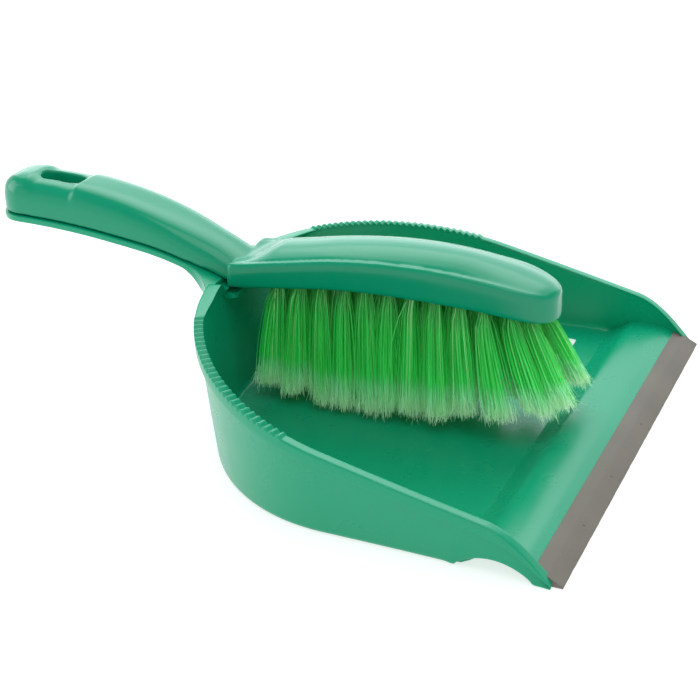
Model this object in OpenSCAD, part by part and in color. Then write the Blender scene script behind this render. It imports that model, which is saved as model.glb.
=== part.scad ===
// Dustpan with a rubber lip, and the hand brush that nests in it.
// +X runs from the handle to the lip, +Z is up, and the set is symmetric about Y = 0.
// Stations are given as d, the distance back from the front edge of the lip.

/* [Overall] */
// Overall length, from the lip's front edge to the end of the handle
overall_length = 325; // [318:1:332]
// Half-length of the rubber lip
lip_half = 110; // [100:0.5:115]

/* [Pan] */
// Half-width over the rim where the sides are widest
rim_half = 114.5; // [113:0.5:116]
// Half-width of the base
base_half = 110; // [108:0.1:110.5]
// Height of the rim at the start of its straight slope
rim_low = 15.7; // [14.5:0.1:17]
// Rise of the rim per millimetre towards the handle
rim_rise = 0.2355; // [0.225:0.0005:0.245]
// Thickness of the moulded wall
wall = 2.3; // [1.8:0.1:2.6]
// Thickness of the tray floor
floor_t = 2; // [1.6:0.1:2.5]
// Height of the band that hangs from the outside of the rim
band = 5; // [3.5:0.1:6]
// Pitch of the ribs along the rim
rib_pitch = 3.4; // [3:0.1:4.5]
// Height of the ribs above the rim
rib_rise = 1; // [0.4:0.1:1.2]
// Height of the ramp's crest above the ground
crest_z = 8.8; // [8.4:0.1:9.2]

/* [Handles] */
// Half-width of the brush handle
grip_half = 15.8; // [14:0.1:17]
// How far the pan handle stands out past the brush handle
ledge = 1.2; // [0.8:0.1:2]
// Gap between the two handles
nest_gap = 0.5; // [0.3:0.1:1]
// Length of the hanging slot in the brush handle
slot_length = 24; // [20:0.5:28]
// Width of the hanging slot in the brush handle
slot_width = 10.5; // [7:0.5:11]

/* [Brush] */
// Half-width of the brush block
block_half = 18.5; // [17:0.1:20]
// Height of the crown above the side band
crown_rise = 4; // [2:0.1:5]
// Number of ranks of tufts
ranks = 22; // [18:1:24]
// Radius of a tuft hole
hole_r = 2.2; // [1.8:0.1:2.4]
// Depth of a tuft hole
hole_depth = 9; // [6:0.5:10]
// Radius of a tuft at its tips
tip_r = 4.4; // [3:0.1:4.6]

/* [Hidden] */
rank_names = [for (k = [1:ranks]) str("tuft_rank_", k < 10 ? "0" : "", k)];

lip_x = overall_length / 2;
handle_end = overall_length;
tip_d = 4.5;
tray_d = 46;
floor_front = 43;
foot_h = 0.3;
bend_d = 101;
rim_back = 98;
base_back = 92;
rim_tip_half = 112.4;
base_tip_half = 112.8;
rib_first_d = 114.5;
rib_last_d = 187;
slot_d = 291;
rank_first_d = 167;
rank_pitch = 5.55;
plastic = "#2aa37a";
bristle = "#279a3c";

// Smooth step from 0 to 1, and a curve through evenly spaced heights.
function smooth(t) = let (c = max(0, min(1, t))) c * c * (3 - 2 * c);
function near(v, i) = v[max(0, min(len(v) - 1, i))];
function curve(v, t) =
    let (i = max(0, min(len(v) - 2, floor(t))), f = t - i)
    let (a = near(v, i), b = near(v, i + 1))
    let (ma = (b - near(v, i - 1)) / 2, mb = (near(v, i + 2) - a) / 2)
    let (f2 = f * f, f3 = f2 * f)
    a * (2 * f3 - 3 * f2 + 1) + ma * (f3 - 2 * f2 + f) + b * (3 * f2 - 2 * f3) + mb * (f3 - f2);
// The same step as a rounded end: 0 at t = 0, square-on to it, and 1 from t = 1.
function dome(t) = let (c = 1 - max(0, min(1, t))) sqrt(1 - c * c);

// A solid through a list of closed rings.
module loft(rings) {
    n = len(rings[0]);
    m = len(rings);
    sides = [
        for (i = [0:m - 2], j = [0:n - 1])
        let (a = i * n + j, b = i * n + (j + 1) % n)
        each [[a, b, b + n], [a, b + n, a + n]]
    ];
    first_cap = [for (j = [n - 1:-1:0]) j];
    last_cap = [for (j = [0:n - 1]) (m - 1) * n + j];
    polyhedron([for (r = rings) each r], concat(sides, [first_cap, last_cap]));
}

// ---------------------------------------------------------------- pan outline
// s runs from 0 at the near front tip, through 1 at the bend and 2 at the back, to 4 at the far tip.
function side_d(t) = tip_d + t * (bend_d - tip_d);
function half_side(s) = s <= 2 ? s : 4 - s;
function rim_d(s) = let (t = half_side(s)) t < 1 ? side_d(t) : bend_d + rim_back * sin(90 * (t - 1));
function rim_w(s) =
    let (t = half_side(s))
    t < 1 ? rim_half - (rim_half - rim_tip_half) * pow(1 - t, 2.2) : rim_half * cos(90 * (t - 1));
function base_d(s) = let (t = half_side(s)) t < 1 ? side_d(t) : bend_d + base_back * sin(90 * (t - 1));
function base_w(s) =
    let (t = half_side(s))
    t < 1 ? base_half + (base_tip_half - base_half) * pow(1 - t, 3) : base_half * cos(90 * (t - 1));
function flip(s) = s <= 2 ? -1 : 1;
function rim_xy(s) = [lip_x - rim_d(s), flip(s) * rim_w(s)];
function base_xy(s) = [lip_x - base_d(s), flip(s) * base_w(s)];
function out_dir(s) =
    let (a = 90 * max(0, half_side(s) - 1), v = [-sin(a) / rim_back, flip(s) * cos(a) / rim_half])
    v / norm(v);

// Rim height: a rounded nose, a straight slope, and a saddle under the brush's neck.
nose_length = 28.6;
saddle_half = 23;
saddle_drop = 5.8;
function rim_z(s) =
    let (d = rim_d(s), nose = 1 - pow(max(0, 1 - (d - tip_d + 1.5) / nose_length), 2.06))
    let (saddle = half_side(s) > 1 ? saddle_drop * smooth((saddle_half + 5 - rim_w(s)) / 8) : 0)
    (rim_low + rim_rise * d) * nose - saddle;
// Height of the wall's bottom edge, which arches up between the tray and the front tip.
arch_z = 6.4;
arch_d = 11.5;
function arch(d) =
    let (u = max(0, min(1, (d - arch_d) / (tray_d - 2 - arch_d))))
    arch_z * pow(max(0, sin(180 * u)), 0.7);
// Width of the rim's top, wider by the handle.
function rim_top(s) = 4.5 + 2.3 * smooth((62 - rim_w(s)) / 22) * (half_side(s) > 1 ? 1 : 0);

// Ribs across the rim, evenly spaced along its length: rim_run turns a length along it into s.
rim_steps = [for (i = [0:200]) 0.9 + i / 200];
rim_run = [
    for (i = 0, run = 0; i < len(rim_steps);
        run = run + (i + 1 < len(rim_steps) ? norm(rim_xy(rim_steps[i + 1]) - rim_xy(rim_steps[i])) : 0),
        i = i + 1) [run, rim_steps[i]]
];
s_to_run = [for (r = rim_run) [r[1], r[0]]];
d_to_run = [for (r = rim_run) [rim_d(r[1]), r[0]]];
rib_first = lookup(rib_first_d, d_to_run);
rib_count = floor((lookup(rib_last_d, d_to_run) - rib_first) / rib_pitch);
function rib_phase(s) = (lookup(half_side(s), s_to_run) - rib_first) / rib_pitch;
function rib_z(s) =
    let (phase = rib_phase(s))
    phase < 0 || phase > rib_count + 0.01 ? 0 : rib_rise * (1 - cos(360 * phase)) / 2;

// Cross-section of the wall at s, from the inside bottom corner round by the outside and the rim.
function wall_ring(s) =
    let (R = rim_xy(s), B = base_xy(s), n = out_dir(s), d = base_d(s), top = rim_z(s), crest = top + rib_z(s))
    let (low = arch(d), f = min(1, (top - low) / 16), k = smooth((d - tray_d + 3) / 6))
    let (w = rim_top(s), hang = top - band * f)
    let (at = function (p, inset, z) [p[0] - n[0] * inset, p[1] - n[1] * inset, z])
    [
        at(B, wall + 3.7 * k, low),
        at(B, 1.6 + 1.6 * k, low),
        at(B, 0.5 + 0.6 * k, low + 0.4 * f + 0.4 * k),
        at(B, 0.1, low + 1.4 * f + 1.2 * k),
        at(R, 1.8, hang),
        at(R, 0.3, hang),
        at(R, 0, hang + 0.4 * f),
        at(R, 0, crest - 0.9 * f),
        at(R, 0.9, crest),
        at(R, w - 0.8, crest),
        at(R, w, crest - 0.8 * f),
        at(R, min(w, 1.8 + wall), top - (0.9 + w - 4.2) * f),
        at(B, wall + 0.1, low + (floor_t + 3) * f),
        at(B, wall + 0.8 * k + 0.1, low + (floor_t + 0.6) * f),
        at(B, wall + 3.7 * k, low + (0.8 + (floor_t - 1.2) * k) * f)
    ];
side_stations = concat(
    [for (i = [0:14]) i / 32],
    [0.5, 0.58, 0.68, 0.78, 0.88, 0.96, 1.03],
    [for (i = [0:2 * rib_count]) lookup(rib_first + i * rib_pitch / 2, rim_run)],
    [1.74, 1.79, 1.84, 1.89, 1.94, 1.98]
);
stations = concat(side_stations, [for (i = [len(side_stations) - 1:-1:0]) 4 - side_stations[i]]);

// ---------------------------------------------------------------- ramp and lip
lip_back = 12;
tongue_back = [lip_back, 2.3, 4.2];
tongue_front = [7.6, 1.5, 3];
ramp_inset = 1.9;
ramp_lap = 8;
ramp_top = [
    [tray_d + ramp_lap, floor_t - 0.5], [46, floor_t - 0.4], [42.5, floor_t + 0.6], [38, 5.2],
    [34, crest_z - 1],
    [30.5, crest_z - 0.1], [27, crest_z], [22, crest_z - 0.3], [17, crest_z - 1.2],
    [lip_back, 5.7], [lip_back, tongue_back[2]]
];
ramp_low = [
    [lip_back, tongue_back[1]], [17, crest_z - 3.4], [22, crest_z - 2.4], [27, crest_z - 2],
    [30.5, crest_z - 2.2], [34, crest_z - 3.2], [38, 2.7], [41.5, 0.8], [44, 0.5], [tray_d + ramp_lap, 0.6]
];
tongue = [
    [tongue_front[0], tongue_front[2]], [tongue_front[0], tongue_front[1]]
];
// Turns (d, z) outlines into prisms along Y.
module along_y(outline, half) {
    rotate([90, 0, 0])
        translate([0, 0, -half])
        linear_extrude(2 * half)
        polygon([for (p = outline) [lip_x - p[0], p[1]]]);
}

// ---------------------------------------------------------------- handles
// Heights along the handle, from the block at handle_d to the far end, evenly spaced.
handle_d = 180;
handle_step = (handle_end - handle_d) / 6;
seam = [54, 61.8, 68.9, 72.8, 75.6, 77, 77.2];
ridge = [62.5, 74.1, 83.7, 90.7, 94.8, 96.4, 95.5];
function seam_z(d) = curve(seam, (d - handle_d) / handle_step);
function ridge_z(d) = curve(ridge, (d - handle_d) / handle_step);
end_round = 16;
function end_scale(d, back) = dome((back - d) / end_round);
neck_narrow = 1.4;
function grip_w(d) = grip_half - neck_narrow * smooth((225 - d) / 30);

// Cross-section of the brush handle: a flat-topped arch, flatter towards the neck.
arch_steps = 20;
function arch_ring(d, w, low, high, p) = [
    for (i = [0:arch_steps])
    let (a = 180 * i / arch_steps, c = cos(a), q = 2 / p)
    [lip_x - d, -w * sign(c) * pow(abs(c), q), low + (high - low) * pow(sin(a), q)]
];
function grip_power(d) = 3.6 - 1.1 * smooth((245 - d) / 45);
function grip_ring(d, back, inset, low_extra) =
    let (e = end_scale(d, back), low = seam_z(d) + nest_gap)
    let (top = low + (ridge_z(d) - low - inset) * (0.4 + 0.6 * dome((back - d) / 22)))
    arch_ring(d, max(0.4, (grip_w(d) - inset) * e), low - low_extra, top, grip_power(d));
grip_stations = concat(
    [for (i = [0:5]) handle_end - 0.3 - end_round * (1 - cos(90 * i / 5)) * 0.999],
    [for (i = [1:17]) handle_end - end_round - 0.3 - i * 7.15]
);
hollow_end = handle_end - 3;
hollow_stations = concat(
    [for (i = [0:4]) hollow_end - end_round * (1 - cos(90 * i / 4)) * 0.999],
    [for (i = [1:11]) hollow_end - end_round - i * 8]
);

// Pan handle: a plate under the brush handle with a hollow rib that nests in it.
plate_t = 3;
rib_half = 8.5;
rib_h = 8;
root_d = 214;
function plate_w(d) =
    (grip_half + ledge) * end_scale(d, handle_end) + 13 * pow(max(0, (root_d - d) / 18), 2);
function plate_low(d) = seam_z(d) - plate_t - 4.5 * smooth((root_d + 3 - d) / 13);
function plate_ring(d) =
    let (w = max(0.4, plate_w(d)), top = seam_z(d), low = plate_low(d), x = lip_x - d)
    [
        [x, -w + 0.5, low], [x, -w, low + 0.6], [x, -w, top - 0.5], [x, -w + 0.5, top],
        [x, w - 0.5, top], [x, w, top - 0.5], [x, w, low + 0.6], [x, w - 0.5, low]
    ];
plate_stations = concat(
    [for (i = [0:6]) handle_end - (end_round) * (1 - cos(90 * i / 6)) * 0.999],
    [for (i = [1:12]) handle_end - end_round - i * 8],
    [for (i = [1:7]) 211 - i * 2.2]
);
function rib_ring(d, w, extra) =
    let (x = lip_x - d, top = seam_z(d) + rib_h + extra, low = seam_z(d) - 1.5 + 4 * extra)
    [
        [x, -w, low], [x, -w, top - 1.5], [x, -w + 1.5, top],
        [x, w - 1.5, top], [x, w, top - 1.5], [x, w, low]
    ];
rib_stations = [for (i = [0:8]) 312 - i * 10];
groove_stations = [for (i = [0:8]) 310 - i * 9.5];

// A slot with round ends through a handle.
module hanging_slot(length, width, low, high) {
    translate([lip_x - slot_d, 0, low])
        linear_extrude(high - low)
        union() {
            square([length - width, width], center = true);
            for (end = [-1, 1]) translate([end * (length - width) / 2, 0]) circle(d = width, $fn = 24);
        }
}

module pan_handle() {
    difference() {
        union() {
            loft([for (d = plate_stations) plate_ring(d)]);
            loft([for (d = rib_stations) rib_ring(d, rib_half, 0)]);
        }
        loft([for (d = groove_stations) rib_ring(d, rib_half - 1.8, -1.8)]);
        hanging_slot(slot_length + 3, slot_width + 1.5, 60, 100);
    }
}

// A tongue inside the back wall that the brush's neck rests over.
module saddle_tongue() {
    tongue_t = 2.3;
    d0 = 194.6;
    z = 54.6;
    translate([lip_x - d0, 0, z - tongue_t])
        linear_extrude(tongue_t)
        hull() {
            for (side = [-1, 1]) translate([4.5, side * 17]) circle(r = 3, $fn = 16);
            translate([-1, -20]) square([1, 40]);
        }
}

// Outline of the base, drawn in from its edge and cut off at d_front.
module base_outline(inset, d_front) {
    polygon([
        for (s = stations) if (base_d(s) > d_front)
        let (p = base_xy(s), n = out_dir(s)) [p[0] - inset * n[0], p[1] - inset * n[1]]
    ]);
}

module pan_body() {
    color(plastic) {
        loft([for (i = [len(stations) - 1:-1:0]) wall_ring(stations[i])]);
        translate([0, 0, foot_h]) linear_extrude(floor_t - foot_h) base_outline(4, floor_front);
        intersection() {
            along_y(concat(ramp_top, tongue, ramp_low), lip_half + 5);
            linear_extrude(crest_z + 1) base_outline(ramp_inset, tip_d - 1);
        }
        pan_handle();
        saddle_tongue();
    }
}

lip_outline = [
    [lip_back, 6], [6.6, 4.3], [0.3, 0.9], [0, 0.5], [0.3, 0], [9.5, 0], [9.5, 3], [lip_back, 3]
];
// The strip's ends are notched where they run under the noses of the side walls.
notch_y = 107.6;
notch_z = 0.65;
notch_d = 4.1;
module rubber_lip() {
    color("#8b867c")
        difference() {
            along_y(lip_outline, lip_half);
            along_y(concat([[lip_back + 1, 4.42], [lip_back, tongue_back[2]]], tongue,
                [[lip_back, tongue_back[1]], [lip_back + 1, 2.15]]), lip_half + 1);
            for (side = [-1, 1]) scale([1, side, 1])
                translate([lip_x - lip_back - 1, notch_y, notch_z])
                cube([lip_back + 1 - notch_d, 5, 8]);
        }
}

label_size = [70, 32, 0.2];
module floor_label() {
    color("white")
        translate([lip_x - 56.5 - label_size[0], 59.5, floor_t])
        cube(label_size);
}

// ---------------------------------------------------------------- brush block
block_front = 37.5;
block_back = 192;
block_step = (block_back - block_front + 2) / 6;
under = [57.5, 61.7, 63.6, 64.2, 62.9, 59.8, 57.2];
side_band = [14, 14, 14.9, 14.6, 13.6, 12.4, 11.3];
function block_t(d) = (d - block_front + 2) / block_step;
function under_z(d) = curve(under, block_t(d));
function front_scale(d) = pow(dome((d - block_front) / 24), 0.8);
function rear_scale(d) = dome((block_back - d) / 2.5);
function block_w(d) =
    (block_half - 2.2 * smooth((110 - d) / 65) + 0.6 * smooth((d - 165) / 25))
    * max(0.05, front_scale(d)) * (0.88 + 0.12 * rear_scale(d));
function block_ring(d) =
    let (e = front_scale(d), w = block_w(d), low = under_z(d), x = lip_x - d)
    let (fall = (1 - 1.5 * smooth((d - 168) / 22)) * (1 - 0.5 * smooth((85 - d) / 40)))
    let (rise = crown_rise * (0.2 + 0.8 * e) * fall)
    let (top = low + curve(side_band, block_t(d)) * (0.72 + 0.28 * e) * (0.9 + 0.1 * rear_scale(d)))
    let (half = [
        [0.97, low], [1, low + 0.8], [0.98, top - 3.2], [0.93, top - 1.1], [0.85, top - 0.2],
        [0.79, top - 0.1], [0.7, top + 0.22 * rise], [0.5, top + 0.62 * rise], [0.25, top + 0.92 * rise]
    ])
    concat(
        [for (p = half) [x, -w * p[0], p[1]]],
        [[x, 0, top + rise]],
        [for (i = [len(half) - 1:-1:0]) [x, w * half[i][0], half[i][1]]]
    );
block_stations = concat(
    [for (i = [0:2]) block_back - i * 1.2],
    [for (i = [1:14]) block_back - 2.4 - i * 8.9],
    [for (i = [1:7]) block_front + 24 * (1 - sin(90 * i / 7)) + 0.1]
);

// ---------------------------------------------------------------- tufts
// One rank of tufts sits across the block at each station; ranks of three and of two alternate.
function rank_d(k) = rank_first_d - rank_pitch * (k - 1);
function row_w(d) = 13 * min(1, (block_w(d) - hole_r - 1.6) / 13.2);
function rank_rows(k) = k % 2 == 1 ? [-row_w(rank_d(k)), 0, row_w(rank_d(k))] : [-6.5, 6.5];
function lean(d) = 23 * pow(smooth((110 - d) / 65), 2) - 10 * pow(smooth((d - 120) / 60), 1.5);
trim = [22, 13, 9.5, 7.2, 5.5, 7, 10];
function trim_z(d) = curve(trim, (d - 42) / 22);
function root(k, y) = [lip_x - rank_d(k), y, under_z(rank_d(k))];
function tip(k, y) = [lip_x - rank_d(k) + lean(rank_d(k)), y * 1.62, trim_z(rank_d(k))];

// Places children at a tuft's root with +Z pointing into the block, against the tuft's lean.
module at_root(k, y) {
    v = root(k, y) - tip(k, y);
    translate(root(k, y))
        rotate([0, acos(v[2] / norm(v)), atan2(v[1], v[0])])
        children();
}

tuft_seat = 1;
module tuft_rank(k) {
    for (y = rank_rows(k)) {
        length = norm(root(k, y) - tip(k, y));
        at_root(k, y) {
            color(bristle)
                translate([0, 0, -length])
                cylinder(h = length, r1 = tip_r, r2 = hole_r - 0.15, $fn = 14);
            color(bristle)
                cylinder(h = hole_depth - tuft_seat, r = hole_r - 0.15, $fn = 14);
        }
    }
}

// Flat wire anchors pressed across the bottoms of the tuft holes.
anchor_size = [0.4, 2 * hole_r, 0.9];
module tuft_anchors() {
    color("silver")
        for (k = [1:ranks], y = rank_rows(k))
        at_root(k, y)
        translate([-anchor_size[0] / 2, -anchor_size[1] / 2, hole_depth - anchor_size[2]])
        cube(anchor_size);
}

module brush_stock() {
    color(plastic)
        difference() {
            union() {
                loft([for (d = grip_stations) grip_ring(d, handle_end - 0.3, 0, 0)]);
                loft([for (d = block_stations) block_ring(d)]);
            }
            loft([for (d = hollow_stations) grip_ring(d, hollow_end, 2.2, 3)]);
            hanging_slot(slot_length, slot_width, 60, 110);
            for (k = [1:ranks], y = rank_rows(k))
                at_root(k, y)
                translate([0, 0, -3])
                cylinder(h = hole_depth + 3, r = hole_r, $fn = 14);
        }
}

pan_body();
rubber_lip();
floor_label();
brush_stock();
tuft_anchors();
for (k = [1:ranks]) tuft_rank(k);
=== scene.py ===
"""Dustpan and hand brush: smooth meshes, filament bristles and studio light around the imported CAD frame."""

import math
import random

import bmesh
import bpy
import numpy as np
from mathutils import Matrix, Vector


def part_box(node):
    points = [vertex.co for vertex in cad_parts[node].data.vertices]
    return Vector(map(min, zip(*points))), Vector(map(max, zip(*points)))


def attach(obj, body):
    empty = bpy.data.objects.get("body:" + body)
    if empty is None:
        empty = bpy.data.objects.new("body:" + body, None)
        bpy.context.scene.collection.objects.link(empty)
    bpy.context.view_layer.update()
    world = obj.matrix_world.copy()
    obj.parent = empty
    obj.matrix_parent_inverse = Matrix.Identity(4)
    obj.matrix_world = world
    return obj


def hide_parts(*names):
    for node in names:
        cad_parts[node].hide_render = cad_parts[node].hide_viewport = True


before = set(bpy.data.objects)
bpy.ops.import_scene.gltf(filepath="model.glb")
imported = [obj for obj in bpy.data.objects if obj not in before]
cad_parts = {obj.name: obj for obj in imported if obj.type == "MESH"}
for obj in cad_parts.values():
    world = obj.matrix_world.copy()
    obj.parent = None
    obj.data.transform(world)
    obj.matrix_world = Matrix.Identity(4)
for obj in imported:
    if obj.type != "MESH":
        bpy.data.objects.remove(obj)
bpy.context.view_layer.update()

# Shapes are worked out in millimetres and stored in metres.
MM = 0.001
LIP_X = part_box("rubber_lip")[1].x / MM
LIP_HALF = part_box("rubber_lip")[1].y / MM
HANDLE_END = LIP_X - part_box("pan_body")[0].x / MM
RIM_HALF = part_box("pan_body")[1].y / MM
SHARP_ANGLE = 40
RNG = random.Random(7)


# ---------------------------------------------------------------- curves and meshes
def smooth(t):
    """Smooth step from 0 to 1."""
    c = max(0.0, min(1.0, t))
    return c * c * (3 - 2 * c)


def dome(t):
    """The same step as a rounded end: square-on at 0, level from 1."""
    c = 1 - max(0.0, min(1.0, t))
    return math.sqrt(max(0.0, 1 - c * c))


def curve(values, t):
    """Catmull-Rom curve through evenly spaced values."""
    last = len(values) - 1
    i = max(0, min(last - 1, math.floor(t)))
    f = t - i

    def near(k):
        return values[max(0, min(last, k))]

    a, b = near(i), near(i + 1)
    ma, mb = (b - near(i - 1)) / 2, (near(i + 2) - a) / 2
    f2, f3 = f * f, f * f * f
    return a * (2 * f3 - 3 * f2 + 1) + ma * (f3 - 2 * f2 + f) + b * (3 * f2 - 2 * f3) + mb * (f3 - f2)


def through(points, steps):
    """An open curve through points, with steps pieces between each two."""
    n = len(points) - 1
    return [
        tuple(curve([p[axis] for p in points], k / steps) for axis in range(len(points[0])))
        for k in range(n * steps + 1)
    ]


def rounded(points, radii, steps=4):
    """A closed outline with its corners rounded; a radius of 0 keeps the corner."""
    out = []
    for i, (p, r) in enumerate(zip(points, radii)):
        if r <= 0:
            out.append(p)
            continue
        back, ahead = points[i - 1] - p, points[(i + 1) % len(points)] - p
        start = p + back.normalized() * min(r, back.length * 0.45)
        end = p + ahead.normalized() * min(r, ahead.length * 0.45)
        for k in range(steps + 1):
            t = k / steps
            out.append(start * (1 - t) ** 2 + p * 2 * t * (1 - t) + end * t * t)
    return out


def loft(rings):
    """Vertices and faces of a capped tube through closed rings."""
    n, m = len(rings[0]), len(rings)
    verts = [v for ring in rings for v in ring]
    faces = []
    for i in range(m - 1):
        for j in range(n):
            a, b = i * n + j, i * n + (j + 1) % n
            faces.append((a, b, b + n, a + n))
    faces.append(tuple(range(n - 1, -1, -1)))
    faces.append(tuple((m - 1) * n + j for j in range(n)))
    return verts, faces


def at_height(flat, z):
    """A flat outline lifted to z."""
    return [p + Vector((0, 0, z)) for p in flat]


def mesh_object(name, parts):
    """One object from (vertices, faces) parts in millimetres, shaded smooth with sharp edges kept."""
    verts, faces = [], []
    for part_verts, part_faces in parts:
        start = len(verts)
        verts += [tuple(c * MM for c in v) for v in part_verts]
        faces += [tuple(start + k for k in face) for face in part_faces]
    mesh = bpy.data.meshes.new(name)
    mesh.from_pydata(verts, [], faces)
    mesh.update()
    obj = bpy.data.objects.new(name, mesh)
    bpy.context.scene.collection.objects.link(obj)
    fix_normals(mesh)
    shade(obj, SHARP_ANGLE)
    return obj


def fix_normals(mesh):
    bm = bmesh.new()
    bm.from_mesh(mesh)
    bmesh.ops.recalc_face_normals(bm, faces=bm.faces)
    bm.to_mesh(mesh)
    bm.free()


def shade(obj, sharp):
    """Smooth shading, broken at edges sharper than that angle in degrees."""
    obj.data.polygons.foreach_set("use_smooth", [True] * len(obj.data.polygons))
    obj.data.set_sharp_from_angle(angle=math.radians(sharp))


def apply_modifier(obj, kind, **settings):
    """Adds a modifier, sets it, and applies it to the mesh."""
    mod = obj.modifiers.new(kind.lower(), kind)
    for key, value in settings.items():
        setattr(mod, key, value)
    bpy.context.view_layer.update()
    done = bpy.data.meshes.new_from_object(obj.evaluated_get(bpy.context.evaluated_depsgraph_get()))
    obj.modifiers.clear()
    old = obj.data
    obj.data = done
    bpy.data.meshes.remove(old)


def combine(obj, other, operation):
    """Boolean of obj with other, which is used up."""
    apply_modifier(obj, "BOOLEAN", operation=operation, object=other, solver="EXACT")
    bpy.data.objects.remove(other)


def finish_piece(obj, material, body, slot, *nodes):
    """Gives obj its material and the body it rides on, and hides the CAD nodes it stands for; slot is not
    used.
    """
    obj.data.materials.clear()
    obj.data.materials.append(material)
    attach(obj, body)
    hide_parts(*nodes)


# ---------------------------------------------------------------- pan outline
# s runs from 0 at the near front tip, through 1 at the bend and 2 at the back, to 4 at the far tip.
# d is the distance back from the front edge of the lip.
WALL = 2.3
FLOOR_T = 2.0
FLOOR_INSET = 4
FLOOR_FRONT = 43
FOOT_H = 0.3
BAND = 5.0
BAND_STEP = 1.8
RIM_WIDTH = 4.5
ROOT_WIDTH = 2.3
TIP_D = 4.5
TRAY_D = 46
BEND_D = 101
RIM_BACK = 98
BASE_BACK = 92
BASE_HALF = 110
RIM_TIP_HALF = 112.4
BASE_TIP_HALF = 112.8
RIM_FLARE = 2.2
BASE_FLARE = 3
RIM_LOW = 15.7
RIM_RISE = 0.2355
NOSE_LENGTH = 28.6
SADDLE_HALF = 23
SADDLE_DROP = 5.8
ARCH_Z = 6.4
ARCH_D = 11.5
RIB_PITCH = 3.4
RIB_FIRST_D = 114.5
RIB_LAST_D = 187


def half_side(s):
    return s if s <= 2 else 4 - s


def flip(s):
    return -1 if s <= 2 else 1


def outline(s, half, tip_half, back, flare):
    """(d, half-width) of an outline at s: a nearly straight side, then a quarter of an ellipse."""
    t = half_side(s)
    if t < 1:
        return TIP_D + t * (BEND_D - TIP_D), half + (tip_half - half) * (1 - t) ** flare
    a = math.radians(90 * (t - 1))
    return BEND_D + back * math.sin(a), half * math.cos(a)


def rim_at(s):
    return outline(s, RIM_HALF, RIM_TIP_HALF, RIM_BACK, RIM_FLARE)


def base_at(s):
    return outline(s, BASE_HALF, BASE_TIP_HALF, BASE_BACK, BASE_FLARE)


def out_dir(s):
    """Unit vector out of the rim, level with the ground."""
    a = math.radians(90 * max(0.0, half_side(s) - 1))
    return Vector((-math.sin(a) / RIM_BACK, flip(s) * math.cos(a) / RIM_HALF, 0)).normalized()


def rim_z(s):
    """Rim height: a rounded nose, a straight slope, and a saddle under the brush's neck."""
    d, w = rim_at(s)
    nose = 1 - max(0.0, 1 - (d - TIP_D + 1.5) / NOSE_LENGTH) ** 2.06
    saddle = SADDLE_DROP * smooth((SADDLE_HALF + 5 - w) / 8) if half_side(s) > 1 else 0
    return (RIM_LOW + RIM_RISE * d) * nose - saddle


def rim_top(s):
    """Width of the rim's flat top, wider by the handle."""
    return RIM_WIDTH + (ROOT_WIDTH * smooth((62 - rim_at(s)[1]) / 22) if half_side(s) > 1 else 0)


def arch(d):
    """Height of the wall's bottom edge, arched between the tray and the front tip."""
    u = max(0.0, min(1.0, (d - ARCH_D) / (TRAY_D - 2 - ARCH_D)))
    return ARCH_Z * max(0.0, math.sin(math.pi * u)) ** 0.7


RUN_S = np.linspace(0.9, 1.9, 401)
RUN_XY = np.array([rim_at(s) for s in RUN_S])
RUN = np.concatenate([[0], np.cumsum(np.linalg.norm(np.diff(RUN_XY, axis=0), axis=1))])
RIB_FIRST = float(np.interp(RIB_FIRST_D, RUN_XY[:, 0], RUN))
RIB_COUNT = math.floor((float(np.interp(RIB_LAST_D, RUN_XY[:, 0], RUN)) - RIB_FIRST) / RIB_PITCH)


def rib_wave(s):
    """0 between ribs and 1 on a rib's crest, or None off the ribbed part of the rim."""
    phase = (float(np.interp(half_side(s), RUN_S, RUN)) - RIB_FIRST) / RIB_PITCH
    if half_side(s) < 1 or phase < 0 or phase > RIB_COUNT:
        return None
    return (0.5 - 0.5 * math.cos(2 * math.pi * phase)) ** 0.8


def wall_ring(s):
    """Section of the wall at s. f shrinks it at the nose, and k turns a bare edge into a floor."""
    (rd, rw), (bd, bw) = rim_at(s), base_at(s)
    n = out_dir(s)
    rim = Vector((LIP_X - rd, flip(s) * rw, 0))
    base = Vector((LIP_X - bd, flip(s) * bw, 0))
    top, low, w = rim_z(s), arch(bd), rim_top(s)
    f = min(1.0, (top - low) / 16)
    k = smooth((bd - TRAY_D + 3) / 6)
    wave = rib_wave(s)
    outer, inner = (0, 0) if wave is None else (0.15 + 0.75 * wave, -0.45 + 1.45 * wave)

    def at(edge, inset, z):
        return edge - n * inset + Vector((0, 0, z))

    points = [
        at(base, WALL + 3.7 * k, low),
        at(base, 0, low),
        at(rim, BAND_STEP, top - BAND * f),
        at(rim, 0, top - BAND * f),
        at(rim, 0, top + outer),
        at(rim, w, top + inner),
        at(rim, min(w, BAND_STEP + WALL), top - (1.2 + w - RIM_WIDTH) * f),
        at(base, WALL + 0.1, low + (FLOOR_T + 0.4 * (1 - k)) * f),
        at(base, WALL + 3.7 * k, low + (0.8 + (FLOOR_T - 1) * k) * f),
    ]
    radii = [0, 1 + 1.6 * k, 0.3 * f, 0.3 * f, 1.0 * f, 0.9 * f, 0.5 * f, 0.4 + 3.2 * k, 0]
    return rounded(points, radii)


def side_stations():
    """Places along one side of the pan: closest together at the nose and over the ribs."""
    per_rib = 10
    ribs = [
        float(np.interp(RIB_FIRST + i * RIB_PITCH / per_rib, RUN, RUN_S))
        for i in range(per_rib * RIB_COUNT + 1)
    ]
    front = list(np.linspace(0, 0.45, 44)) + list(np.linspace(0.47, ribs[0] - 0.003, 24))
    return front + ribs + list(np.linspace(ribs[-1] + 0.003, 2, 40))


def pan_wall():
    half = side_stations()
    return loft([wall_ring(s) for s in half + [4 - s for s in half[-2::-1]]])


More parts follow.
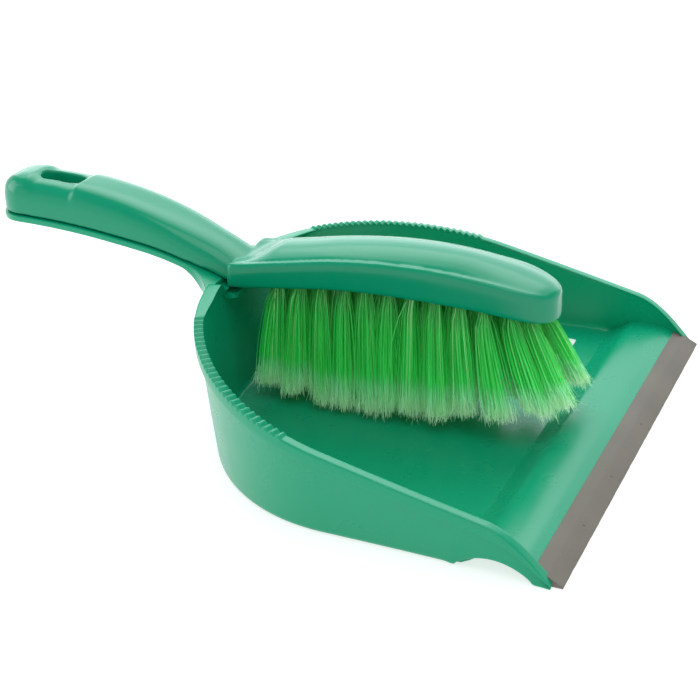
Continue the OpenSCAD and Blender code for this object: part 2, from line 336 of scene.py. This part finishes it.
def base_ring(inset, front_d, z):
    """Outline of the base, drawn in by inset and cut off at front_d."""
    ring = []
    for s in np.linspace(0, 4, 241):
        d, w = base_at(s)
        if d > front_d:
            ring.append(Vector((LIP_X - d, flip(s) * w, z)) - out_dir(s) * inset)
    return ring


def pan_floor():
    return loft([base_ring(FLOOR_INSET, FLOOR_FRONT, z) for z in (FOOT_H, FLOOR_T)])


# ---------------------------------------------------------------- ramp and lip
CREST_Z = 8.8
RAMP_INSET = 1.9
LIP_BACK = 12
LIP_CREASE = (6.6, 4.3)
LIP_EDGE = (0.3, 0.9)
PIP_D = 4.4
PIP_R = 0.75
PIP_Y = (-70, -30.5, 17.4)


def ramp():
    """The hump between the lip and the tray, with the tongue that holds the rubber."""
    top = through(
        [
            (54, FLOOR_T - 0.5), (46, FLOOR_T - 0.4), (42.5, FLOOR_T + 0.6), (38, 5.2), (34, CREST_Z - 1),
            (30.5, CREST_Z - 0.1), (27, CREST_Z), (22, CREST_Z - 0.3), (17, CREST_Z - 1.2), (LIP_BACK, 5.7),
        ],
        5,
    )
    low = [
        (LIP_BACK, 4.2), (7.6, 3), (7.6, 1.5), (LIP_BACK, 2.3), (17, CREST_Z - 3.4), (22, CREST_Z - 2.4),
        (27, CREST_Z - 2), (30.5, CREST_Z - 2.2), (34, CREST_Z - 3.2), (38, 2.7), (41.5, 0.8), (44, 0.5),
        (54, 0.6),
    ]
    rings = []
    for side in (-1, 1):
        ring = []
        for d, z in top + low:
            t = (d - TIP_D) / (BEND_D - TIP_D)
            ring.append(Vector((LIP_X - d, side * (base_at(max(0, t))[1] - RAMP_INSET), z)))
        rings.append(ring)
    return loft(rings)


def lip():
    """The rubber strip: a creased wedge that narrows to a thin front edge, a little uneven along it."""
    profile = [
        (LIP_BACK, 6), LIP_CREASE, (0.25, 0.95), (0, 0.45),
        (0.3, 0), (9.5, 0), (9.5, 2.2), (LIP_BACK, 2.4),
    ]
    radii = [0.35, 0.7, 0.25, 0.2, 0.2, 0, 0, 0]
    rings = []
    columns = 88
    for i in range(columns + 1):
        y = -LIP_HALF + 2 * LIP_HALF * i / columns
        wave = 0.06 * math.sin(0.31 * y) + 0.05 * math.sin(0.83 * y + 1)
        ring = []
        for d, z in profile:
            front = d + wave if d < 3 else d
            upper = z + 0.3 * wave if z > 3 else z
            ring.append(Vector((LIP_X - max(0.0, front), y, max(0.0, upper))))
        rings.append(rounded(ring, radii, 3))
    return loft(rings)


def pip(y):
    """A small moulded pip on the lip's front slope."""
    (edge_d, edge_z), (crease_d, crease_z) = LIP_EDGE, LIP_CREASE
    z = edge_z + (PIP_D - edge_d) * (crease_z - edge_z) / (crease_d - edge_d)
    rings = []
    for k in range(6):
        a = math.radians(18 * k)
        r = PIP_R * math.cos(a)
        height = z - 0.25 + 0.75 * PIP_R * math.sin(a)
        turns = [2 * math.pi * j / 16 for j in range(16)]
        rings.append([Vector((LIP_X - PIP_D + r * math.cos(b), y + r * math.sin(b), height)) for b in turns])
    return loft(rings)


# ---------------------------------------------------------------- handles
GRIP_HALF = 15.8
GRIP_WALL = 2.2
LEDGE = 1.2
NEST_GAP = 0.5
SLOT_D = 291
SLOT_LENGTH = 24
SLOT_WIDTH = 10.5
SLOT_SUNK = 1.7
SLEEVE_WALL = 2
HANDLE_D = 180
END_ROUND = 16
ROOT_D = 214
SEAM = [54, 61.8, 68.9, 72.8, 75.6, 77, 77.2]
RIDGE = [62.5, 74.1, 83.7, 90.7, 94.8, 96.3, 95.6]


def along_handle(values, d):
    return curve(values, (d - HANDLE_D) * (len(values) - 1) / (HANDLE_END - HANDLE_D))


def seam_z(d):
    return along_handle(SEAM, d)


def slot_dish(d):
    """How far the top of the brush handle is sunk round the slot."""
    return SLOT_SUNK * (smooth((d - 276.5) / 2.5) - smooth((d - 299.5) / 6))


def ridge_z(d):
    return along_handle(RIDGE, d) - slot_dish(d)


def grip_ring(d, back, inset=0.0, drop=0.0, steps=56):
    """A flat-topped arch, squarer towards the end of the handle."""
    end = dome((back - d) / END_ROUND)
    w = max(0.4, (GRIP_HALF - 1.4 * smooth((225 - d) / 30) - inset) * end)
    low = seam_z(d) + NEST_GAP
    high = low + (ridge_z(d) - low - inset) * (0.42 + 0.58 * dome((back - d) / 15))
    low -= drop
    power = 2 / (3.6 - 1.1 * smooth((245 - d) / 45))
    ring = []
    for i in range(steps + 1):
        a = math.pi * i / steps
        c = math.cos(a)
        y = -w * math.copysign(abs(c) ** power, c)
        ring.append(Vector((LIP_X - d, y, low + (high - low) * max(0.0, math.sin(a)) ** power)))
    return ring


def end_stations(back, count, length, step):
    """Stations from the rounded end at back: close together round the end, then evenly spaced."""
    end = [back - END_ROUND * (1 - math.cos(math.pi / 2 * i / count)) * 0.999 for i in range(count + 1)]
    return end + list(np.arange(back - END_ROUND - step, back - length, -step))


def grip():
    back = HANDLE_END - 0.3
    return loft([grip_ring(d, back) for d in end_stations(back, 14, 138, 1.2)])


def grip_hollow():
    back = HANDLE_END - 3
    return loft([grip_ring(d, back, GRIP_WALL, 3, 24) for d in end_stations(back, 10, 104, 3)])


def slot_prism(length, width, low, high):
    """An upright prism over the hanging slot, with round ends."""
    straight = (length - width) / 2
    flat = []
    for end in (1, -1):
        for k in range(17):
            a = math.radians(-90 + 180 * k / 16)
            x = LIP_X - SLOT_D + end * (straight + width / 2 * math.cos(a))
            flat.append(Vector((x, end * width / 2 * math.sin(a), 0)))
    return loft([at_height(flat, z) for z in (low, high)])


def pan_plate():
    """The pan's handle: a curved plate that widens and thickens into the back wall."""
    rings = []
    stations = end_stations(HANDLE_END, 12, 112, 2) + [213 - 1.1 * i for i in range(1, 16)]
    for d in sorted(set(stations), reverse=True):
        root = 13 * max(0.0, (ROOT_D - d) / 18) ** 2
        w = max(0.4, (GRIP_HALF + LEDGE) * dome((HANDLE_END - d) / END_ROUND) + root)
        top, low = seam_z(d), seam_z(d) - 3 - 4.5 * smooth((ROOT_D + 3 - d) / 13)
        ring = [Vector((LIP_X - d, y, z)) for y, z in ((-w, low), (-w, top), (w, top), (w, low))]
        rings.append(rounded(ring, [0.8, 0.7, 0.7, 0.8], 4))
    return loft(rings)


def nested_rib(half, height, foot, first_d, last_d):
    """The rib on the pan's handle that the hollow brush handle drops over."""
    rings = []
    for d in np.arange(first_d, last_d, -3):
        top, low = seam_z(d) + height, seam_z(d) + foot
        ring = [Vector((LIP_X - d, y, z)) for y, z in ((-half, low), (-half, top), (half, top), (half, low))]
        rings.append(rounded(ring, [0, 2, 2, 0], 4))
    return loft(rings)


def saddle_tongue():
    """The tongue inside the back wall, under the brush's neck: a flat plate with rounded corners."""
    d0, top, thick = 194.6, 54.6, 2.3
    ring = [Vector((LIP_X - d0 + x, y, 0)) for x, y in ((-1, -20), (7.5, -20), (7.5, 20), (-1, 20))]
    flat = rounded(ring, [0, 3.5, 3.5, 0], 6)
    return loft([at_height(flat, z) for z in (top - thick, top)])


def make_pan(material):
    handle = mesh_object("pan_handle", [pan_plate()])
    combine(handle, mesh_object("rib", [nested_rib(8.5, 8, -1.5, 312, 231)]), "UNION")
    combine(handle, mesh_object("groove", [nested_rib(6.7, 6.2, -8.7, 310, 233)]), "DIFFERENCE")
    slot = slot_prism(SLOT_LENGTH + 3, SLOT_WIDTH + 1.5, 60, 100)
    combine(handle, mesh_object("slot", [slot]), "DIFFERENCE")
    shade(handle, 35)
    finish_piece(handle, material, "dustpan", "pan_plastic")
    pan = mesh_object("pan_shell", [pan_wall(), pan_floor(), ramp(), saddle_tongue()])
    finish_piece(pan, material, "dustpan", "pan_plastic", "pan_body")


def make_lip(material):
    strip = mesh_object("lip_strip", [lip()] + [pip(y) for y in PIP_Y])
    finish_piece(strip, material, "dustpan", "lip_rubber", "rubber_lip")


def make_label(material):
    low, high = (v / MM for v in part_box("floor_label"))
    corners = ((low.x, low.y), (high.x, low.y), (high.x, high.y), (low.x, high.y))
    flat = rounded([Vector((x, y, 0)) for x, y in corners], [2] * 4, 6)
    sheet = mesh_object("label_sheet", [loft([at_height(flat, z) for z in (low.z, high.z)])])
    finish_piece(sheet, material, "dustpan", "label_film", "floor_label")


# ---------------------------------------------------------------- brush block
BLOCK_FRONT = 37.5
BLOCK_BACK = 192
BLOCK_HALF = 18.5
CROWN_RISE = 4.0
UNDER = [57.5, 61.7, 63.6, 64.2, 62.9, 59.8, 57.2]
SIDE_BAND = [14, 14, 14.9, 14.6, 13.6, 12.4, 11.3]


def along_block(values, d):
    return curve(values, (d - BLOCK_FRONT + 2) * (len(values) - 1) / (BLOCK_BACK - BLOCK_FRONT + 2))


def front_scale(d):
    return dome((d - BLOCK_FRONT) / 24) ** 0.8


def rear_scale(d):
    return dome((BLOCK_BACK - d) / 2.5)


def block_w(d):
    taper = -2.2 * smooth((110 - d) / 65) + 0.6 * smooth((d - 165) / 25)
    return (BLOCK_HALF + taper) * max(0.05, front_scale(d)) * (0.88 + 0.12 * rear_scale(d))


def block_ring(d):
    """Section of the block: an upright side band, a rounded shoulder, a crease and a low crown."""
    e, w, low = front_scale(d), block_w(d), along_block(UNDER, d)
    rear_fall, front_fall = 1 - 1.5 * smooth((d - 168) / 22), 1 - 0.5 * smooth((85 - d) / 40)
    rise = CROWN_RISE * (0.2 + 0.8 * e) * rear_fall * front_fall
    top = low + along_block(SIDE_BAND, d) * (0.72 + 0.28 * e) * (0.9 + 0.1 * rear_scale(d))
    crease = 0.45 * smooth((d - 55) / 50)
    half = through(
        [
            (0.99, low + 0.4), (1, low + 1.2), (0.99, low + 5), (0.975, top - 3.4), (0.94, top - 1.0),
            (0.89, top - 0.1), (0.84, top + 0.02), (0.79, top - crease), (0.73, top + 0.15 * rise),
            (0.5, top + 0.62 * rise), (0.25, top + 0.92 * rise), (0, top + rise),
        ],
        4,
    )
    x = LIP_X - d
    left = [Vector((x, 0, low)), Vector((x, -0.96 * w, low))] + [Vector((x, -w * u, z)) for u, z in half]
    right = [Vector((x, -p.y, p.z)) for p in left[-2:0:-1]]
    return left + right


def block():
    stations = [BLOCK_BACK - 2.5 * (1 - math.cos(math.pi / 2 * i / 5)) for i in range(6)]
    stations += list(np.linspace(BLOCK_BACK - 3.6, BLOCK_FRONT + 25, 110))
    stations += [BLOCK_FRONT + 24 * (1 - math.sin(math.pi / 2 * i / 22)) + 0.1 for i in range(23)]
    return loft([block_ring(d) for d in stations])


VOXEL = 0.55
SOFTENING = 14
KEPT_FACES = 0.42


def make_brush(material):
    """The handle and block as one moulding, its edges softened as a mould's are."""
    stock = mesh_object("brush_moulding", [grip()])
    combine(stock, mesh_object("block", [block()]), "UNION")
    combine(stock, mesh_object("hollow", [grip_hollow()]), "DIFFERENCE")
    sleeve = slot_prism(SLOT_LENGTH + 2 * SLEEVE_WALL, SLOT_WIDTH + 2 * SLEEVE_WALL, 85.6, 92.6)
    combine(stock, mesh_object("sleeve", [sleeve]), "UNION")
    slot = slot_prism(SLOT_LENGTH, SLOT_WIDTH, 60, 110)
    combine(stock, mesh_object("slot", [slot]), "DIFFERENCE")
    apply_modifier(stock, "REMESH", mode="VOXEL", voxel_size=VOXEL * MM, use_smooth_shade=True)
    apply_modifier(stock, "SMOOTH", factor=0.5, iterations=SOFTENING)
    apply_modifier(stock, "DECIMATE", ratio=KEPT_FACES)
    shade(stock, 60)
    finish_piece(stock, material, "brush", "brush_plastic", "brush_stock")


# ---------------------------------------------------------------- bristles
RANKS = 22
RANK_FIRST_D = 167
RANK_PITCH = 5.55
HOLE_R = 2.2
TIP_R = 5.4
TIP_STRETCH = 1.5
TRIM = [25, 15.5, 11, 8, 6.3, 8, 11]
OUTER_SPLAY = 1.42
INNER_SPLAY = 1.9
ROW_Y = 13
CLUMPS = 5
FILAMENTS = 125
FILAMENT_R = 0.19
FLAG = 10.0
HAIRS = 3
HAIR_R = 0.11
STRAY_SHARE = 0.009
STRAY_WILD = 4.0


def rank_d(k):
    return RANK_FIRST_D - RANK_PITCH * (k - 1)


def rank_rows(k):
    """Where the holes of rank k are across the block: three and two in turn."""
    row = ROW_Y * min(1, (block_w(rank_d(k)) - HOLE_R - 1.6) / 13.2)
    return (-row, 0.0, row) if k % 2 else (-ROW_Y / 2, ROW_Y / 2)


def lean(d):
    """How far the tips of a tuft stand ahead of its root."""
    return 20 * smooth((110 - d) / 65) ** 2 - 6 * smooth((d - 120) / 60) ** 1.5


def trim_z(d):
    return curve(TRIM, (d - 42) / 22)


def strand(points, radii, verts, faces, along, tint, start, end, shade_value):
    """A three-sided filament through points, thinning by radii."""
    first = len(verts)
    turn = RNG.uniform(0, 2.1)
    for k, (p, r) in enumerate(zip(points, radii)):
        for j in range(3):
            a = turn + j * 2 * math.pi / 3
            verts.append((p[0] + r * math.cos(a), p[1] + r * math.sin(a), p[2]))
            along.append(start + (end - start) * k / (len(points) - 1))
            tint.append(shade_value)
    for k in range(len(points) - 1):
        for j in range(3):
            a, b = first + 3 * k + j, first + 3 * k + (j + 1) % 3
            faces.append((a, a + 3, b + 3, b))
    faces.append((first, first + 1, first + 2))
    last = first + 3 * (len(points) - 1)
    faces.append((last + 2, last + 1, last))


def disc():
    """A random point on a disc of radius 1."""
    a, r = RNG.uniform(0, 2 * math.pi), math.sqrt(RNG.random())
    return r * math.cos(a), r * math.sin(a)


def filament(root, tip, tilt, wild, out):
    """One filament: it leans by tilt, flares early, then ends in a flag of finer hairs that splay."""
    run = tip - root
    bow = Vector((RNG.gauss(0, 0.5), RNG.gauss(0, 0.5), 0)) * (1 + wild)
    flare = Vector((run.x - tilt, run.y, 0))
    split = 1 - FLAG * RNG.uniform(0.7, 1.2) / run.length
    value = RNG.random()

    def at(t):
        return root + run * t + flare * (t**0.45 - t) + bow * math.sin(math.pi * min(1, t))

    points = [at(split * k / 5) for k in range(6)]
    strand(points, [FILAMENT_R] * 5 + [FILAMENT_R * 0.8], *out, 0, split, value)
    for _ in range(HAIRS):
        side = Vector((RNG.gauss(0, 1), RNG.gauss(0, 1), RNG.gauss(0, 0.35))) * (1.1 + wild)
        start, end = at(split), at(1) + side + Vector((0, 0, RNG.gauss(0, 0.9)))
        end.z = max(FLOOR_T + 0.6, end.z)
        middle = start.lerp(end, 0.55) - side * 0.15
        strand([start, middle, end], [HAIR_R, HAIR_R, HAIR_R * 0.5], *out, split, 1, value)


def grow_tuft(d, y, splay, out):
    """One tuft from the hole at (d, y): its filaments gather into a few clumps at the tips."""
    sway = Vector((RNG.gauss(0, 0.9), RNG.gauss(0, 0.7), RNG.gauss(0, 0.7)))
    clumps = [(disc(), RNG.gauss(0, 1.3)) for _ in range(CLUMPS)]
    x, top = LIP_X - d, along_block(UNDER, d)
    for _ in range(FILAMENTS):
        du, dv = disc()
        (cu, cv), drop = RNG.choice(clumps)
        root = Vector((x + HOLE_R * 0.9 * du, y + HOLE_R * 0.9 * dv, top + 2))
        spread = TIP_R * (1 + 0.12 * RNG.gauss(0, 1))
        tu, tv = 0.5 * du + 0.6 * cu, 0.5 * dv + 0.6 * cv
        reach = lean(d) + spread * TIP_STRETCH * tu
        tip = Vector((x + reach, y * splay + spread * tv, trim_z(d) + drop + RNG.gauss(0, 0.9)))
        wild = STRAY_WILD if RNG.random() < STRAY_SHARE else 0.0
        filament(root, tip + sway, lean(d), wild, out)


def make_tufts(material):
    for k in range(1, RANKS + 1):
        verts, faces, along, tint = [], [], [], []
        for y in rank_rows(k):
            splay = OUTER_SPLAY if k % 2 else INNER_SPLAY
            grow_tuft(rank_d(k), y, splay, (verts, faces, along, tint))
        tuft = mesh_object("filaments_%02d" % k, [(verts, faces)])
        for label, values in (("along", along), ("tint", tint)):
            layer = tuft.data.attributes.new(label, "FLOAT", "POINT")
            layer.data.foreach_set("value", values)
        finish_piece(tuft, material, "brush", "bristle", "tuft_rank_%02d" % k)


# ---------------------------------------------------------------- materials
def linear(r, g, b):
    """A 0-255 display colour as linear RGBA."""
    return tuple(
        (c / 255 / 12.92 if c / 255 <= 0.04045 else ((c / 255 + 0.055) / 1.055) ** 2.4) for c in (r, g, b)
    ) + (1.0,)


class Nodes:
    """A material's node tree, with short calls to add and join nodes."""

    def __init__(self, name):
        self.material = bpy.data.materials.new(name)
        self.material.use_nodes = True
        self.tree = self.material.node_tree
        self.shader = next(n for n in self.tree.nodes if n.type == "BSDF_PRINCIPLED")

    def add(self, kind, **inputs):
        node = self.tree.nodes.new(kind)
        for key, value in inputs.items():
            self.put(node.inputs[key.replace("_", " ")], value)
        return node

    def put(self, socket, value):
        if isinstance(value, bpy.types.NodeSocket):
            self.tree.links.new(value, socket)
        else:
            socket.default_value = value

    def set(self, **inputs):
        for key, value in inputs.items():
            self.put(self.shader.inputs[key.replace("_", " ")], value)

    def noise(self, scale, detail=4.0, stretch=None):
        place = self.add("ShaderNodeTexCoord").outputs["Object"]
        if stretch:
            mapping = self.add("ShaderNodeMapping", Vector=place, Scale=stretch)
            place = mapping.outputs["Vector"]
        return self.add("ShaderNodeTexNoise", Vector=place, Scale=scale, Detail=detail).outputs["Fac"]

    def ramp(self, fac, stops):
        node = self.add("ShaderNodeValToRGB", Fac=fac)
        node.color_ramp.elements[0].position, node.color_ramp.elements[0].color = stops[0]
        node.color_ramp.elements[1].position, node.color_ramp.elements[1].color = stops[-1]
        for position, color in stops[1:-1]:
            node.color_ramp.elements.new(position).color = color
        return node.outputs["Color"]

    def span(self, fac, low, high):
        node = self.add("ShaderNodeMapRange", Value=fac, To_Min=low, To_Max=high)
        return node.outputs["Result"]

    def mix(self, fac, a, b):
        node = self.tree.nodes.new("ShaderNodeMix")
        node.data_type = "RGBA"
        self.put(node.inputs[0], fac)
        self.put(node.inputs[6], a)
        self.put(node.inputs[7], b)
        return node.outputs[2]

    def bump(self, height, distance, normal=None):
        node = self.add("ShaderNodeBump", Height=height, Distance=distance, Strength=1.0)
        if normal:
            self.put(node.inputs["Normal"], normal)
        return node.outputs["Normal"]


def grey(v):
    return (v, v, v, 1.0)


def plastic(name, color, rough, grain):
    """Moulded polypropylene: faint colour drift, fine grain, and slightly paler streaks."""
    m = Nodes(name)
    darker = tuple(c * 0.9 for c in color[:3]) + (1.0,)
    paler = tuple(min(1, c * 1.25 + 0.003) for c in color[:3]) + (1.0,)
    body = m.mix(m.span(m.noise(14, 3), 0.2, 0.8), darker, color)
    streaks = m.ramp(m.noise(220, 5, (0.35, 1, 1)), [(0.7, grey(0)), (0.84, grey(0.25))])
    m.set(Base_Color=m.mix(streaks, body, paler))
    m.set(Roughness=m.span(m.noise(60, 4), rough - 0.05, rough + 0.08))
    fine = m.bump(m.noise(1500, 3), grain * MM)
    m.set(Normal=m.bump(m.noise(30, 2), 0.03 * MM, normal=fine))
    m.shader.inputs["IOR"].default_value = 1.46
    m.shader.inputs["Specular IOR Level"].default_value = 0.42
    return m.material


def rubber():
    m = Nodes("lip_rubber")
    tone = m.ramp(m.noise(45, 6), [(0.3, linear(103, 97, 87)), (0.7, linear(113, 107, 97))])
    dust = m.ramp(m.noise(700, 3), [(0.66, grey(0)), (0.78, grey(0.35))])
    m.set(Base_Color=m.mix(dust, tone, linear(140, 135, 127)))
    m.set(Roughness=m.span(m.noise(90, 4), 0.55, 0.75))
    m.set(Normal=m.bump(m.noise(900, 4), 0.03 * MM))
    return m.material


def label_film():
    m = Nodes("label_film")
    m.set(Base_Color=m.ramp(m.noise(260, 5), [(0.3, linear(232, 235, 236)), (0.7, linear(244, 246, 246))]))
    m.set(Roughness=m.span(m.noise(120, 3), 0.3, 0.42))
    m.set(Normal=m.bump(m.noise(1200, 2), 0.01 * MM))
    return m.material


def bristle():
    """Green filaments: darkened at the roots by painted shade deep in the tuft, brighter along their length,
    with pale frayed tips and a faint painted glow.
    """
    m = Nodes("bristle")
    along = m.add("ShaderNodeAttribute")
    along.attribute_name = "along"
    tint = m.add("ShaderNodeAttribute")
    tint.attribute_name = "tint"
    # The dark start of this ramp is painted shade on the roots deep in the tuft; the pale end is the tips'
    # own colour.
    body = m.ramp(
        along.outputs["Fac"],
        [
            (0.0, linear(10, 112, 40)), (0.3, linear(36, 200, 76)), (0.7, linear(66, 234, 106)),
            (0.82, linear(160, 248, 190)), (1.0, linear(236, 255, 228)),
        ],
    )
    lively = m.ramp(tint.outputs["Fac"], [(0.1, grey(0)), (0.95, grey(0.5))])
    bright = m.mix(lively, body, linear(100, 240, 110))
    pale = m.ramp(tint.outputs["Fac"], [(0.9, grey(0)), (0.96, grey(0.45))])
    tone = m.mix(pale, bright, linear(214, 246, 196))
    # The emission is a painted glow: the filaments shine faintly, as if lit through, though they are no lamp.
    m.set(Base_Color=tone, Emission_Color=tone)
    m.shader.inputs["Emission Strength"].default_value = 0.03
    m.set(Roughness=m.span(m.noise(400, 2), 0.3, 0.45))
    m.shader.inputs["Specular IOR Level"].default_value = 0.45
    return m.material


def anchor_wire():
    m = Nodes("anchor_wire")
    m.set(Base_Color=m.ramp(m.noise(600, 3, (1, 8, 1)), [(0.3, grey(0.5)), (0.7, grey(0.72))]))
    m.set(Roughness=m.span(m.noise(900, 3), 0.25, 0.45))
    m.shader.inputs["Metallic"].default_value = 1.0
    return m.material


# ---------------------------------------------------------------- studio
FLOOR_HALF = 60.0
FLOOR_Z = -0.0002
COOL = (0.82, 0.93, 1.0)
WHITE = (1, 1, 1)


def studio_floor():
    mesh = bpy.data.meshes.new("studio_floor")
    corners = [(-1, -1), (1, -1), (1, 1), (-1, 1)]
    mesh.from_pydata([(x * FLOOR_HALF, y * FLOOR_HALF, FLOOR_Z) for x, y in corners], [], [(0, 1, 2, 3)])
    floor = bpy.data.objects.new("studio_floor", mesh)
    bpy.context.scene.collection.objects.link(floor)
    m = Nodes("studio_floor")
    m.set(Base_Color=(0.5, 0.5, 0.5, 1), Roughness=0.9)
    m.set(Emission_Color=(1, 1, 1, 1), Emission_Strength=0.68)
    mesh.materials.append(m.material)


def area_light(name, place, aim, width, height, power, color):
    light = bpy.data.lights.new(name, "AREA")
    light.color = color
    light.shape = "RECTANGLE"
    light.size, light.size_y, light.energy = width, height, power
    obj = bpy.data.objects.new(name, light)
    obj.location = place
    obj.rotation_euler = (Vector(aim) - Vector(place)).to_track_quat("-Z", "Y").to_euler()
    bpy.context.scene.collection.objects.link(obj)


def studio_sky():
    """A white horizon that darkens overhead, so that the plastic's highlights keep their shape."""
    world = bpy.data.worlds.new("studio")
    world.use_nodes = True
    nodes, links = world.node_tree.nodes, world.node_tree.links
    place = nodes.new("ShaderNodeTexCoord")
    height = nodes.new("ShaderNodeSeparateXYZ")
    sky = nodes.new("ShaderNodeValToRGB")
    sky.color_ramp.elements[0].position, sky.color_ramp.elements[0].color = 0.2, (0.98, 0.99, 1, 1)
    sky.color_ramp.elements[1].position, sky.color_ramp.elements[1].color = 0.5, (0.27, 0.3, 0.31, 1)
    links.new(place.outputs["Generated"], height.inputs["Vector"])
    links.new(height.outputs["Z"], sky.inputs["Fac"])
    links.new(sky.outputs["Color"], nodes["Background"].inputs["Color"])
    bpy.context.scene.world = world


def studio_lights():
    """Soft boxes: name, place, aim, width, height, power and colour."""
    area_light("top_box", (-0.2, 0.6, 1.1), (0, 0, 0.04), 1.3, 0.9, 8, WHITE)
    area_light("over_box", (0.35, -0.3, 1.15), (0.05, 0, 0.02), 0.9, 0.9, 5, WHITE)
    area_light("back_box", (-0.4, 1.35, 1.0), (0, 0, 0.05), 2.8, 2.0, 30, COOL)
    area_light("left_box", (-1.3, -0.4, 0.5), (0, 0, 0.03), 0.9, 0.9, 7, COOL)
    area_light("front_fill", (0.5, -1.6, 0.9), (0, 0, 0.03), 2.4, 1.4, 3, WHITE)


def camera():
    """Ahead of the lip and to its near side, looking down, with a slight roll."""
    azimuth, elevation, roll = math.radians(26.5), math.radians(26.26), math.radians(-2.86)
    target = Vector((0.99, 45.36, 0)) * MM
    distance = 712.68 * MM
    level = math.cos(elevation)
    back = Vector((math.sin(azimuth) * level, -math.cos(azimuth) * level, math.sin(elevation)))
    right = (-back).cross(Vector((0, 0, 1))).normalized()
    up = right.cross(-back)
    turned_right = right * math.cos(roll) + up * math.sin(roll)
    turned_up = up * math.cos(roll) - right * math.sin(roll)
    data = bpy.data.cameras.new("camera")
    data.lens, data.sensor_width = 72, 36
    data.clip_start, data.clip_end = 0.01, 50
    cam = bpy.data.objects.new("camera", data)
    axes = Matrix((turned_right, turned_up, back)).transposed()
    cam.matrix_world = Matrix.Translation(target + back * distance) @ axes.to_4x4()
    bpy.context.scene.collection.objects.link(cam)
    bpy.context.scene.camera = cam


# ---------------------------------------------------------------- the scene
bpy.context.scene.view_settings.view_transform = "Standard"
camera()
studio_floor()
studio_sky()
studio_lights()
make_pan(plastic("pan_plastic", linear(3, 153, 111), 0.27, 0.008))
make_brush(plastic("brush_plastic", linear(2, 143, 104), 0.2, 0.006))
make_lip(rubber())
make_label(label_film())
make_tufts(bristle())
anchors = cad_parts["tuft_anchors"]
anchors.data.materials.clear()
anchors.data.materials.append(anchor_wire())
